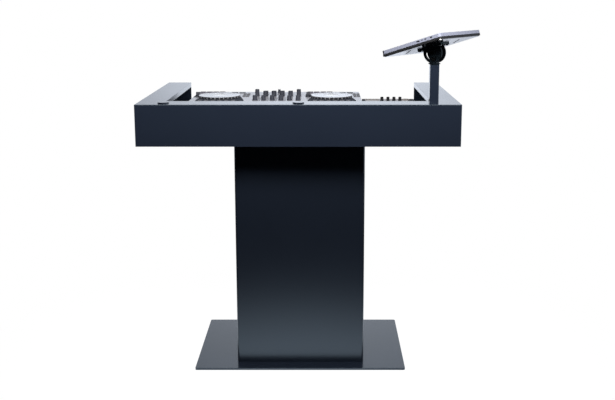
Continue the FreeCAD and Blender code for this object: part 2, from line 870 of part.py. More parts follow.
def all_parts():
    """Every sub-part by the name of its node."""
    parts = {
        "base_plate": base_plate(),
        "column_shell": column_shell(),
        "column_rear_cover": column_rear_cover(),
        "column_foot_flange": column_foot_flange(),
        "column_head_plate": column_head_plate(),
        "frame_bolts": frame_bolts(),
        "tray_shell": tray_shell(),
        "tray_floor": tray_floor(),
        "gear_shelf": gear_shelf(),
        "socket_caps": socket_caps(),
        "post_tube": post_tube(),
        "post_socket": post_socket(),
        "post_plug": post_plug(),
        "head_yoke": head_yoke(),
        "pivot_bolt": through_bolt(pivot_shank, pivot_head_across, pivot_head_height, 0, 0),
        "lock_bolt": through_bolt(lock_shank, lock_head_across, lock_head_height, *lock_point()),
        "tilt_bracket": tilt_bracket(),
        "tablet_back_plate": tablet_back_plate(),
        "tablet_frame": tablet_frame(),
        "tablet_body": tablet_body(),
        "tablet_glass": tablet_glass(),
        "console_case": console_case(),
        "console_feet": console_feet(),
        "console_top": console_top(),
        "deck_panels": deck_panels(),
        "pads": pads(),
        "display_glass": display_glass(),
        "unit_case": unit_case(),
    }
    for side, x in jog_places.items():
        parts["jog_wheel_" + side] = jog_wheel(x)
    for name, (x, y, travel, turn) in fader_places().items():
        parts[name] = fader(x, y, turn)
    for name, (diameter, height, x, y) in mixer_knob_places().items():
        parts[name] = knob(diameter, height, x, y)
    for name, (x, y) in button_places().items():
        parts[name] = push_button(x, y)
    for name, (x, y) in unit_knob_places().items():
        parts[name] = knob(unit_knob, unit_knob_height, x, y)
    return parts


os.makedirs("parts", exist_ok=True)
for node, shape in all_parts().items():
    shape.exportStep("parts/%s.step" % node)
    print(node, "solids", len(shape.Solids), "valid", shape.isValid(), "volume", round(shape.Volume))
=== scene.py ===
import json
import math

import bmesh
import bpy
from mathutils import Matrix, Vector


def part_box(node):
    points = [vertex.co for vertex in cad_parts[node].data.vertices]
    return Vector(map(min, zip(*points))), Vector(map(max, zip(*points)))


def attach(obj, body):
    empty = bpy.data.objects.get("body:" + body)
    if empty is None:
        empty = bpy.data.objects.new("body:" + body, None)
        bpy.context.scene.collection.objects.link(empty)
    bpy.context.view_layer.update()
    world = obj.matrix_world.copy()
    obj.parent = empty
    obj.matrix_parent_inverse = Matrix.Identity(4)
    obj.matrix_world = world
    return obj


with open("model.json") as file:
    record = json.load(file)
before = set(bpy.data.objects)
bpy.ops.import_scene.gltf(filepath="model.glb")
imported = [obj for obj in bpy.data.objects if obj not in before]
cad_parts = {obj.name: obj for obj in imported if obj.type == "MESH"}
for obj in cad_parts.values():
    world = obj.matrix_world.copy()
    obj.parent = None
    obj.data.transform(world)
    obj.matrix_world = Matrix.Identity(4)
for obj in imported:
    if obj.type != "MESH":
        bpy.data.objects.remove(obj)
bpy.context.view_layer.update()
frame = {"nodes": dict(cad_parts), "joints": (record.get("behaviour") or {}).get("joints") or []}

bl_info = {
    "name": "DJ booth finishes",
    "version": (1, 0, 0),
    "blender": (4, 5, 0),
    "location": "3D View > Sidebar > Booth",
    "description": "Finishes and small details for a standing DJ booth with its console and tablet arm",
    "category": "Object",
}

MM = 0.001
QUARTER = math.pi / 2
SHARP_ANGLE = math.radians(35)
SIDES = ("left", "right")
MIXER_KNOBS = ["mixer_knob_%s_%d" % (row, n) for row in ("near", "far") for n in range(1, 7)]
UNIT_KNOBS = ["unit_knob_%d" % n for n in range(1, 5)]
CHANNEL_FADERS = ["channel_fader_%d" % n for n in range(1, 5)]
TEMPO_FADERS = ["tempo_fader_" + side for side in SIDES]
BUTTONS = ["%s_button_%s" % (kind, side) for kind in ("play", "cue") for side in SIDES]

# Tones of the small parts, by the names of their materials

TONES = {
    "black_plastic": (0.010, 0.010, 0.012),
    "rubber": (0.02, 0.02, 0.021),
    "pad_rubber": (0.30, 0.28, 0.34),
    "unit_knob": (0.010, 0.010, 0.011),
    "print_dark": (0.03, 0.03, 0.034),
    "key_grey": (0.26, 0.26, 0.28),
    "bed_dark": (0.030, 0.032, 0.045),
    "marker_pale": (0.60, 0.62, 0.70),
    "meter_bed": (0.16, 0.16, 0.18),
    "meter_lens": (0.55, 0.56, 0.61),
    "unit_pale": (0.42, 0.38, 0.34),
    "unit_grey": (0.13, 0.12, 0.12),
    "port_black": (0.006, 0.006, 0.008),
    "inlet_black": (0.012, 0.012, 0.013),
    "edging_rubber": (0.015, 0.015, 0.016),
    "screw_steel": (0.35, 0.35, 0.37),
    "cover_steel": (0.30, 0.31, 0.33),
    "jack_metal": (0.55, 0.55, 0.57),
}


# Sizes and colours that a user may change

class PaintFinish(bpy.types.PropertyGroup):
    """Finish of the steel booth and the arm."""
    paint: bpy.props.FloatVectorProperty(
        name="Paint", description="Colour of the powder coat", subtype="COLOR", size=3,
        default=(0.0232, 0.0319, 0.0531), min=0, max=1)
    gloss: bpy.props.FloatProperty(
        name="Paint roughness", description="Roughness of the powder coat", subtype="FACTOR",
        default=0.24, min=0, max=1)
    head: bpy.props.FloatVectorProperty(
        name="Head", description="Colour of the tilting head", subtype="COLOR", size=3,
        default=(0.0025, 0.0025, 0.0035), min=0, max=1)
    zinc: bpy.props.FloatVectorProperty(
        name="Zinc", description="Colour of plated bolts and plates", subtype="COLOR", size=3,
        default=(0.55, 0.56, 0.58), min=0, max=1)
    back: bpy.props.FloatVectorProperty(
        name="Back plate", description="Colour of the tablet's back plate", subtype="COLOR", size=3,
        default=(0.54, 0.535, 0.545), min=0, max=1)
    tablet: bpy.props.FloatVectorProperty(
        name="Tablet", description="Colour of the tablet's metal body", subtype="COLOR", size=3,
        default=(0.42, 0.44, 0.56), min=0, max=1)


class GearFinish(bpy.types.PropertyGroup):
    """Finish of the console and the effects unit."""
    top: bpy.props.FloatVectorProperty(
        name="Console top", description="Colour of the console's metal top", subtype="COLOR", size=3,
        default=(0.80, 0.79, 0.83), min=0, max=1)
    case: bpy.props.FloatVectorProperty(
        name="Console case", description="Colour of the console's lower case", subtype="COLOR", size=3,
        default=(0.05, 0.05, 0.055), min=0, max=1)
    deck: bpy.props.FloatVectorProperty(
        name="Deck", description="Colour of the inlays under the wheels", subtype="COLOR", size=3,
        default=(0.050, 0.057, 0.078), min=0, max=1)
    wheel: bpy.props.FloatVectorProperty(
        name="Wheel", description="Colour of the jog wheels", subtype="COLOR", size=3,
        default=(0.90, 0.905, 0.93), min=0, max=1)
    control: bpy.props.FloatVectorProperty(
        name="Controls", description="Colour of knobs and fader caps", subtype="COLOR", size=3,
        default=(0.070, 0.075, 0.098), min=0, max=1)
    unit: bpy.props.FloatVectorProperty(
        name="Effects unit", description="Colour of the effects unit's case", subtype="COLOR", size=3,
        default=(0.018, 0.017, 0.017), min=0, max=1)
    mark: bpy.props.FloatVectorProperty(
        name="Marks", description="Colour of pointers, scales and lines", subtype="COLOR", size=3,
        default=(0.78, 0.79, 0.80), min=0, max=1)


class DetailSizes(bpy.types.PropertyGroup):
    """Sizes of the small details."""
    print_lift: bpy.props.FloatProperty(
        name="Print", description="Thickness of printed marks", unit="LENGTH", default=0.00015)
    pointer: bpy.props.FloatProperty(
        name="Pointer", description="Width of a knob's pointer line", unit="LENGTH", default=0.0013)
    tick: bpy.props.FloatProperty(
        name="Tick", description="Width of a scale's tick", unit="LENGTH", default=0.0006)
    ring_gap: bpy.props.FloatProperty(
        name="Scale gap", description="Gap between a knob and its ring of ticks", unit="LENGTH",
        default=0.002)
    screw: bpy.props.FloatProperty(
        name="Screw", description="Diameter of a cover screw's head", unit="LENGTH", default=0.009)
    trim: bpy.props.FloatProperty(
        name="Trim", description="Thickness of the rubber edging", unit="LENGTH", default=0.006)
    jack: bpy.props.FloatProperty(
        name="Jack", description="Diameter of a signal socket", unit="LENGTH", default=0.0095)


class StageSetup(bpy.types.PropertyGroup):
    """Camera, light and floor."""
    camera_place: bpy.props.FloatVectorProperty(
        name="Camera", description="Place of the camera", subtype="TRANSLATION", size=3,
        default=(0.0897, -3.5568, 1.5144))
    camera_pitch: bpy.props.FloatProperty(
        name="Pitch", description="How far the camera looks down", subtype="ANGLE", default=0.1805)
    camera_lens: bpy.props.FloatProperty(
        name="Lens", description="Focal length in millimetres", unit="CAMERA", default=51.44)
    camera_shift: bpy.props.FloatVectorProperty(
        name="Shift", description="Shift of the lens across and upright", size=2,
        default=(-0.0245, -0.0886))
    key_place: bpy.props.FloatVectorProperty(
        name="Key place", description="Place of the softbox", subtype="TRANSLATION", size=3,
        default=(0.10, -1.10, 1.61))
    key_aim: bpy.props.FloatVectorProperty(
        name="Key aim", description="Point that the softbox faces", subtype="TRANSLATION", size=3,
        default=(0.0, -0.30, 0.88))
    key_width: bpy.props.FloatProperty(
        name="Key width", description="Width of the softbox", unit="LENGTH", default=2.2)
    key_height: bpy.props.FloatProperty(
        name="Key height", description="Height of the softbox", unit="LENGTH", default=0.30)
    key_power: bpy.props.FloatProperty(
        name="Key power", description="Power of the softbox in watts", unit="POWER", default=16.0)
    room_front: bpy.props.FloatProperty(
        name="Front room", description="Brightness of the room before the booth", default=0.0)
    room_back: bpy.props.FloatProperty(
        name="Back room", description="Light from the pale wall behind the booth", default=0.45)
    room_tint: bpy.props.FloatVectorProperty(
        name="Room tint", description="Colour of the pale wall in mirrors", subtype="COLOR", size=3,
        default=(0.83, 0.89, 1.0), min=0, max=1)
    floor_size: bpy.props.FloatProperty(
        name="Floor", description="Side of the floor", unit="LENGTH", default=7.0)
    floor_pool: bpy.props.FloatProperty(
        name="Floor pool", description="How far the pale floor reaches round the booth", unit="LENGTH",
        default=0.81)
    floor_fade: bpy.props.FloatProperty(
        name="Floor fade", description="Width of the pale floor's soft edge", unit="LENGTH", default=0.54)


# Shader expressions

class Flow:
    """One shader socket. Sums and products of it add Math nodes, node() adds any other kind."""

    def __init__(self, tree, socket=None):
        self.tree = tree
        self.socket = socket

    def node(self, kind, settings=None, values=None, output=0):
        """Adds a node, sets it up, then fills or links its sockets, and gives one of its outputs."""
        made = self.tree.nodes.new("ShaderNode" + kind)
        for name, value in (settings or {}).items():
            setattr(made, name, value)
        for name, value in (values or {}).items():
            if isinstance(value, Flow):
                self.tree.links.new(value.socket, made.inputs[name])
            else:
                made.inputs[name].default_value = value
        return Flow(self.tree, made.outputs[output])

    def maths(self, operation, first, second=0.0):
        """Adds a Math node."""
        return self.node("Math", {"operation": operation}, {0: first, 1: second})

    def __add__(self, other):
        return self.maths("ADD", self, other)

    __radd__ = __add__

    def __sub__(self, other):
        return self.maths("SUBTRACT", self, other)

    def __rsub__(self, other):
        return self.maths("SUBTRACT", other, self)

    def __mul__(self, other):
        return self.maths("MULTIPLY", self, other)

    __rmul__ = __mul__

    def __gt__(self, other):
        return self.maths("GREATER_THAN", self, other)

    def __lt__(self, other):
        return self.maths("LESS_THAN", self, other)


def where(flow, stretch=(1, 1, 1), centre=(0, 0, 0)):
    """Object coordinates about a centre, stretched for a directed grain."""
    place = flow.node("TexCoord", output="Object")
    moved = flow.node("VectorMath", {"operation": "SUBTRACT"}, {0: place, 1: centre})
    return flow.node("VectorMath", {"operation": "MULTIPLY"}, {0: moved, 1: stretch})


def axis_of(vector, axis):
    """One coordinate of a vector."""
    return vector.node("SeparateXYZ", values={0: vector}, output=axis)


def noise(place, scale, detail=2.0):
    """Soft noise between 0 and 1."""
    return place.node("TexNoise", values={"Vector": place, "Scale": scale, "Detail": detail})


def between(value, low, high):
    """Smooth step of a value from 0 at low to 1 at high."""
    return value.node("MapRange", {"interpolation_type": "SMOOTHSTEP"},
                      {"Value": value, "From Min": low, "From Max": high})


def blend(factor, first, second):
    """Colour between two colours."""
    return factor.node("Mix", {"data_type": "RGBA"}, {0: factor, 6: first, 7: second}, output=2)


def swing(value, spread):
    """A noise turned into a change about nought, from end to end of a spread."""
    return (value - 0.5) * spread


def bump(height, strength, distance):
    """Normal of a bumpy surface."""
    return height.node("Bump", values={"Strength": strength, "Distance": distance, "Height": height})


def tint(colour, share=1.0):
    """Four numbers of a colour, made lighter or darker by a share."""
    return tuple(min(1.0, part * share) for part in colour[:3]) + (1.0,)


def finish(name, settings, pattern):
    """Material with its constants on the shader and its pattern linked to it."""
    made = bpy.data.materials.new(name)
    made.use_nodes = True
    tree = made.node_tree
    shader = tree.nodes["Principled BSDF"]
    for socket, value in settings.items():
        shader.inputs[socket].default_value = value
    for socket, flow in pattern(Flow(tree)).items():
        tree.links.new(flow.socket, shader.inputs[socket])
    return made


def powder_coat(name, colour, roughness, coat=1.0, blur=0.18):
    """Smooth dark powder coat: broad cloudiness, pale specks and a fine orange peel."""
    def pattern(flow):
        cloud = noise(where(flow), scale=2.6, detail=4.0)
        peel = noise(where(flow), scale=520.0, detail=1.0)
        speck = between(noise(where(flow), scale=240.0), low=0.70, high=0.80)
        tone = blend(cloud, tint(colour, 0.90), tint(colour, 1.10))
        return {"Base Color": blend(speck * 0.25, tone, tint(colour, 1.8)),
                "Roughness": swing(cloud, 0.10) + speck * 0.10 + roughness,
                "Normal": bump(peel, strength=0.30, distance=0.04 * MM)}
    return finish(name, {"IOR": 1.5, "Specular Tint": (0.5, 0.82, 1.0, 1), "Coat Weight": coat,
                         "Coat Roughness": blur}, pattern)


def moulded(name, roughness, colour=None, grain=900.0, field=None, over=None):
    """Moulded plastic with a fine grain and handling marks, and a field of another colour over it."""
    colour = TONES[name] if colour is None else colour

    def pattern(flow):
        handled = noise(where(flow), scale=38.0, detail=3.0)
        cells = flow.node("TexVoronoi", values={"Vector": where(flow), "Scale": grain})
        tone = blend(handled, tint(colour, 0.86), tint(colour, 1.14))
        if field:
            tone = blend(field(where(flow)), tone, blend(handled, tint(over, 0.92), tint(over)))
        return {"Base Color": tone,
                "Roughness": swing(handled, 0.22) + roughness,
                "Normal": bump(cells, strength=0.35, distance=0.06 * MM)}
    return finish(name, {"IOR": 1.48}, pattern)


def metal(name, roughness, scale, colour=None, stretch=(1, 1, 1), bare=1.0, lacquer=0.0):
    """Metal with a directed grain, bare or under a thin tinted film and a clear lacquer."""
    colour = TONES[name] if colour is None else colour

    def pattern(flow):
        grain = noise(where(flow, stretch), scale)
        cloud = noise(where(flow), scale=9.0, detail=3.0)
        return {"Base Color": blend(cloud, tint(colour, 0.92), tint(colour, 1.06)),
                "Roughness": swing(grain, 0.16) + swing(cloud, 0.10) + roughness,
                "Normal": bump(grain, strength=0.12, distance=0.03 * MM)}
    return finish(name, {"Metallic": bare, "Coat Weight": lacquer, "Coat Roughness": 0.15}, pattern)


def dress(material, *nodes):
    """Gives CAD nodes a material in each of their slots."""
    for node in nodes:
        slots = frame["nodes"][node].data.materials
        if not len(slots):
            slots.append(material)
        for index in range(len(slots)):
            slots[index] = material


# Meshes

def once(items):
    """Each item once, in the order in which it first comes."""
    return list(dict.fromkeys(items))


def slab(shape, low, high, corner=0.0, soft=0.0, matrix=None):
    """Block between two corners, its upright edges rounded and its top rim softened."""
    low, high = Vector(low), Vector(high)
    size = high - low
    made = bmesh.ops.create_cube(shape, size=1.0)["verts"]
    bmesh.ops.scale(shape, vec=size, verts=made)
    bmesh.ops.translate(shape, vec=(low + high) / 2, verts=made)
    if corner:
        upright = [e for e in once(e for v in made for e in v.link_edges)
                   if abs(e.verts[0].co.z - e.verts[1].co.z) > size.z / 2]
        cut = bmesh.ops.bevel(shape, geom=upright, offset=corner, affect="EDGES", segments=4,
                              profile=0.5, material=-1)
        made = grown(cut["verts"])
    if soft:
        rim = [e for e in once(e for v in made for e in v.link_edges)
               if min(p.co.z for p in e.verts) > high.z - size.z / 4]
        cut = bmesh.ops.bevel(shape, geom=rim, offset=soft, affect="EDGES", segments=2, profile=0.5,
                              material=-1)
        made = grown(cut["verts"])
    if matrix:
        bmesh.ops.transform(shape, matrix=matrix, verts=made)
    return made


def block(shape, x, y, z, size, corner=0.0, soft=0.0):
    """Block of a width, depth and height, standing on the middle of its foot."""
    wide, deep, tall = size
    return slab(shape, (x - wide / 2, y - deep / 2, z), (x + wide / 2, y + deep / 2, z + tall), corner,
                soft)


def grown(seeds):
    """Every vertex of the islands that hold the seeds."""
    found = {}
    waiting = list(seeds)
    while waiting:
        vertex = waiting.pop()
        if vertex not in found:
            found[vertex] = True
            waiting += [e.other_vert(vertex) for e in vertex.link_edges]
    return list(found)


def turned(shape, profile, matrix, steps=20):
    """Closed turned form from radius and height pairs about the matrix's own upright axis."""
    points = [shape.verts.new((r, 0.0, z)) for r, z in profile]
    edges = [shape.edges.new(pair) for pair in zip(points, points[1:])]
    bmesh.ops.spin(shape, geom=points + edges, cent=(0, 0, 0), axis=(0, 0, 1), angle=2 * math.pi,
                   steps=steps, use_merge=True)
    made = grown(points)
    bmesh.ops.remove_doubles(shape, verts=made, dist=1e-7)
    made = [v for v in made if v.is_valid]
    bmesh.ops.transform(shape, matrix=matrix, verts=made)
    return made


def seat_at(place, turn):
    """Seat at a place, with its upright axis turned about x."""
    return Matrix.Translation(place) @ Matrix.Rotation(turn, 4, "X")


def screw(shape, seat, across):
    """Button-head screw with a six-sided socket, standing on its seat."""
    half = across / 2
    bore = half * 0.48
    floor = half * 0.25
    head = turned(shape, ((0, floor), (bore, floor), (bore, half * 0.60), (half * 0.75, half * 0.52),
                          (half * 0.95, half * 0.28), (half, 0), (0, 0)), Matrix(), 18)
    for vertex in head:
        around = vertex.co.to_2d()
        if abs(around.length - bore) < 0.01 * MM:
            lean = math.atan2(around.y, around.x) % (math.pi / 3) - math.pi / 6
            vertex.co.xy = around * math.cos(math.pi / 6) / math.cos(lean)
    bmesh.ops.transform(shape, matrix=seat, verts=head)


def piece(name, shape, material, body, smooth=False):
    """Finished object from a bmesh, riding on a body."""
    bmesh.ops.recalc_face_normals(shape, faces=shape.faces[:])
    for face in shape.faces:
        face.smooth = smooth
    mesh = bpy.data.meshes.new(name)
    shape.to_mesh(mesh)
    shape.free()
    mesh.materials.append(material)
    if smooth:
        mesh.set_sharp_from_angle(angle=SHARP_ANGLE)
    made = bpy.data.objects.new(name, mesh)
    bpy.context.scene.collection.objects.link(made)
    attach(made, body)
    return made


def middle(node):
    """Middle of a node's box."""
    low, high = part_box(node)
    return (low + high) / 2


def joint(name):
    """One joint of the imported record."""
    return next(row for row in frame["joints"] if row["name"] == name)


def head_matrix():
    """From the tablet holder's own axes to the frame: x along the pivot, z out of the screen."""
    tilt = joint("tablet_tilt")
    along = Vector(tilt["axis"]).normalized()
    glass = frame["nodes"]["tablet_glass"].data
    normal = max(glass.polygons, key=lambda face: face.area).normal.copy()
    if normal.z < 0:
        normal = -normal
    normal = (normal - along * normal.dot(along)).normalized()
    across = normal.cross(along)
    turn = Matrix((along, across, normal)).transposed().to_4x4()
    return Matrix.Translation(tilt["pos_m"]) @ turn


def in_head(node):
    """Box of a node in the tablet holder's own axes."""
    back = head_matrix().inverted()
    points = [back @ v.co for v in frame["nodes"][node].data.vertices]
    low = Vector(min(p[i] for p in points) for i in range(3))
    high = Vector(max(p[i] for p in points) for i in range(3))
    return low, high


# Operators

class BOOTH_OT_steelwork(bpy.types.Operator):
    """Finish the tray, the pedestal, the base and the post"""
    bl_idname = "booth.steelwork"
    bl_label = "Steelwork"

    def execute(self, context):
        paint = context.scene.booth_paint
        coat = powder_coat("booth_paint", paint.paint, paint.gloss)
        dress(coat, "base_plate", "tray_shell", "tray_floor", "gear_shelf", "post_tube", "post_socket")
        # The column's coat is the booth paint made darker (0.73) as painted shade for the shade under the
        # tray, with a rougher, more blurred coat.
        shaded_column_coat = powder_coat("column_paint_painted_shade", tint(paint.paint, 0.73), paint.gloss + 0.06, blur=0.29)
        dress(shaded_column_coat, "column_shell", "column_rear_cover")
        steel = metal("plain_steel", roughness=0.36, scale=160.0, colour=paint.zinc)
        dress(steel, "column_foot_flange", "column_head_plate", "frame_bolts")
        dress(powder_coat("cap_paint", tint(paint.paint, 0.52), roughness=0.20), "socket_caps")
        return {"FINISHED"}


class BOOTH_OT_tablet_arm(bpy.types.Operator):
    """Finish the tilting head and the tablet"""
    bl_idname = "booth.tablet_arm"
    bl_label = "Tablet arm"

    def execute(self, context):
        paint = context.scene.booth_paint
        black = powder_coat("head_paint", paint.head, roughness=0.40, coat=0.0)
        dress(black, "head_yoke", "tilt_bracket", "post_plug")
        steel = metal("bolt_steel", roughness=0.34, scale=200.0, colour=tint(paint.zinc, 0.08))
        dress(steel, "pivot_bolt", "lock_bolt")
        dress(moulded("black_plastic", roughness=0.55), "tablet_frame")
        brushed = metal("back_plate", roughness=0.16, scale=30.0, colour=paint.back, stretch=(4, 60, 60))
        dress(brushed, "tablet_back_plate")
        blasted = metal("tablet_metal", roughness=0.42, scale=900.0, colour=paint.tablet, bare=0.1)
        dress(blasted, "tablet_body")
        dress(self.screen(), "tablet_glass")
        return {"FINISHED"}

    def screen(self):
        """Dark glass with faint smears."""
        def pattern(flow):
            smear = noise(where(flow, (3.0, 1.0, 1.0)), scale=16.0, detail=4.0)
            return {"Base Color": blend(smear, (0.004, 0.0045, 0.006, 1), (0.010, 0.011, 0.014, 1)),
                    "Roughness": smear * 0.10 + 0.03}
        return finish("screen_glass", {"IOR": 1.5, "Coat Weight": 0.5, "Coat Roughness": 0.03}, pattern)


class BOOTH_OT_console(bpy.types.Operator):
    """Finish the console and the effects unit"""
    bl_idname = "booth.console"
    bl_label = "Console"
    UNIT_MARGINS = {"left": 12 * MM, "right": 28 * MM, "ends": 7 * MM}
    BAR_PITCH = 1.6 * MM
    BAR_GAP = 0.25 * MM
    DISPLAY_MARGIN = 6 * MM
    DISH_EDGE = (30.4 * MM, 30.9 * MM)
    GROOVES_START = (32.5 * MM, 33.5 * MM)
    GROOVES_END = (66.5 * MM, 68.0 * MM)
    GROOVES_RATE = 5200.0
    WHEEL_EDGE = (1.1 * MM, 0.8 * MM)

    def execute(self, context):
        gear = context.scene.booth_gear
        dress(moulded("console_case", roughness=0.55, colour=gear.case), "console_case")
        dress(moulded("rubber", roughness=0.85, grain=500.0), "console_feet")
        top = metal("console_top", roughness=0.42, scale=26.0, colour=gear.top, stretch=(1.0, 40.0, 40.0),
                    bare=0.3, lacquer=0.6)
        dress(top, "console_top")
        dress(moulded("deck_panel", roughness=0.72, colour=gear.deck), "deck_panels")
        dress(moulded("pad_rubber", roughness=0.78, grain=700.0), "pads")
        controls = MIXER_KNOBS + CHANNEL_FADERS + TEMPO_FADERS + ["crossfader"]
        dress(moulded("control_black", roughness=0.50, colour=gear.control), *controls)
        dress(moulded("unit_knob", roughness=0.45), *UNIT_KNOBS)
        dress(self.button(), *BUTTONS)
        case = moulded("unit_case", roughness=0.60, colour=gear.unit, field=self.unit_field, over=gear.top)
        dress(case, "unit_case")
        dress(self.display(), "display_glass")
        for side in SIDES:
            dress(self.wheel(gear.wheel, side), "jog_wheel_" + side)
        return {"FINISHED"}

    def unit_field(self, place):
        """Silver field on the effects unit's top, between its dark ends."""
        low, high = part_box("unit_case")
        margins = self.UNIT_MARGINS
        x, y, z = (axis_of(place, axis) for axis in "XYZ")
        across = (x > low.x + margins["left"]) * (x < high.x - margins["right"])
        along = (y > low.y + margins["ends"]) * (y < high.y - margins["ends"])
        return across * along * (z > high.z - 0.3 * MM)

    def button(self):
        """Smoky lens of a lit button."""
        def pattern(flow):
            haze = noise(where(flow), scale=90.0)
            return {"Base Color": blend(haze, (0.06, 0.065, 0.07, 1), (0.11, 0.12, 0.13, 1)),
                    "Roughness": haze * 0.15 + 0.28}
        return finish("button", {"Coat Weight": 0.4, "Coat Roughness": 0.1}, pattern)

    def display(self):
        """Dark display with two rows of bars that stand for sound."""
        low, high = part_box("display_glass")
        centre = (low + high) / 2
        tall = high.y - low.y
        reach = (high.x - low.x) / 2 - self.DISPLAY_MARGIN

        def pattern(flow):
            place = where(flow, centre=centre)
            across = axis_of(place, "X")
            along = axis_of(place, "Y")
            step = flow.maths("SNAP", across, self.BAR_PITCH)
            level = noise(flow.node("CombineXYZ", values={"X": step}), scale=180.0, detail=3.0)
            row = flow.maths("PINGPONG", flow.maths("ABSOLUTE", along), tall / 4)
            bars = (level - 0.28) * tall * 0.5 > flow.maths("ABSOLUTE", row - tall / 4)
            gap = flow.maths("PINGPONG", across, self.BAR_PITCH / 2) > self.BAR_GAP
            inside = flow.maths("ABSOLUTE", across) < reach
            lit = bars * gap * inside
            tone = blend(along > 0.0, (0.10, 0.32, 0.50, 1), (0.42, 0.45, 0.48, 1))
            return {"Base Color": blend(lit, (0.006, 0.007, 0.009, 1), tone),
                    "Emission Color": blend(lit, (0.0, 0.0, 0.0, 1), tone),
                    "Roughness": noise(place, scale=40.0, detail=3.0) * 0.08 + 0.05}
        return finish("display_glass", {"Emission Strength": 0.5, "Coat Weight": 0.5}, pattern)

    def wheel(self, colour, side):
        """White wheel with a grey grooved ring, a dark side, and a dish in its middle painted lighter and
        given a glow of its own as painted light.
        """
        low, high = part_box("jog_wheel_" + side)
        centre = (low + high) / 2
        rim = (high.x - low.x) / 2

        def pattern(flow):
            place = where(flow, (1, 1, 0), centre)
            reach = flow.node("VectorMath", {"operation": "LENGTH"}, {0: place}, output="Value")
            groove = flow.maths("SINE", reach * self.GROOVES_RATE)
            grooved = between(reach, *self.GROOVES_START) * (1 - between(reach, *self.GROOVES_END))
            # The middle dish is painted light: a lighter colour and a glow of its own, though the wheel
            # has no lamp.
            painted_glow_dish = 1 - between(reach, *self.DISH_EDGE)
            edge = between(reach, *(rim - inset for inset in self.WHEEL_EDGE))
            dirt = noise(where(flow), scale=60.0, detail=4.0)
            tone = blend(grooved, tint(colour), tint(colour, 0.80))
            tone = blend(painted_glow_dish, tone, tint(colour, 1.12))
            tone = blend(dirt * 0.15, tone, tint(colour, 0.7))
            return {"Base Color": blend(edge, tone, (0.05, 0.052, 0.062, 1)),
                    "Roughness": dirt * 0.14 + 0.16,
                    "Emission Color": blend(painted_glow_dish, (0, 0, 0, 1), tint(colour)),
                    "Normal": bump(groove * grooved, strength=0.12, distance=0.03 * MM)}
        # The emission strength lights only the dish, as a painted glow.
        return finish("jog_white_" + side, {"Metallic": 0.15, "Emission Strength": 0.20,
                                            "Coat Weight": 1.0, "Coat Roughness": 0.08}, pattern)


class BOOTH_OT_pointers(bpy.types.Operator):
    """Inlay a pointer line in each knob and each fader cap"""
    bl_idname = "booth.pointers"
    bl_label = "Pointer lines"
    KNOB_TOP_SHARE = 0.86
    KNOB_LINE_START = 0.3 * MM
    KNOB_LINE_END = 0.4 * MM
    KNOB_LINE_DEPTHS = (1.6 * MM, 1.0 * MM)
    CAP_GROOVE = 3.3 * MM
    CAP_LINE_SINK = 0.1 * MM
    CAP_LINE_RISE = 0.7 * MM
    CAP_LINE_END = 0.2 * MM

    def execute(self, context):
        width = context.scene.booth_sizes.pointer
        white = self.inlay(context.scene.booth_gear.mark)
        for node in MIXER_KNOBS + UNIT_KNOBS:
            self.knob_line(node, width, white)
        for node in CHANNEL_FADERS + TEMPO_FADERS + ["crossfader"]:
            self.cap_line(node, width, white)
        return {"FINISHED"}

    def inlay(self, colour):
        """Pale inlaid mark, worn a little."""
        def pattern(flow):
            worn = noise(where(flow), scale=300.0, detail=3.0)
            return {"Base Color": blend(worn, tint(colour, 0.80), tint(colour)),
                    "Roughness": worn * 0.20 + 0.40}
        return finish("pointer_white", {}, pattern)

    def knob_line(self, node, width, white):
        """Line in the groove of a knob's top, from its middle to its edge."""
        low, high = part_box(node)
        centre = (low + high) / 2
        tip = (high.x - low.x) / 2 * self.KNOB_TOP_SHARE
        foot, top = self.KNOB_LINE_DEPTHS
        shape = bmesh.new()
        slab(shape, (centre.x - width / 2, centre.y + self.KNOB_LINE_START, high.z - foot),
             (centre.x + width / 2, centre.y + tip - self.KNOB_LINE_END, high.z - top))
        piece(node + "_pointer", shape, white, node)

    def cap_line(self, node, width, white):
        """Line along the bottom of a cap's finger groove."""
        low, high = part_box(node)
        centre = (low + high) / 2
        half = (high - low) / 2
        groove = high.z - self.CAP_GROOVE
        if half.x > half.y:
            reach = (half.x - self.CAP_LINE_END, width / 2)
        else:
            reach = (width / 2, half.y - self.CAP_LINE_END)
        shape = bmesh.new()
        slab(shape, (centre.x - reach[0], centre.y - reach[1], groove - self.CAP_LINE_SINK),
             (centre.x + reach[0], centre.y + reach[1], groove + self.CAP_LINE_RISE))
        piece(node + "_line", shape, white, node)


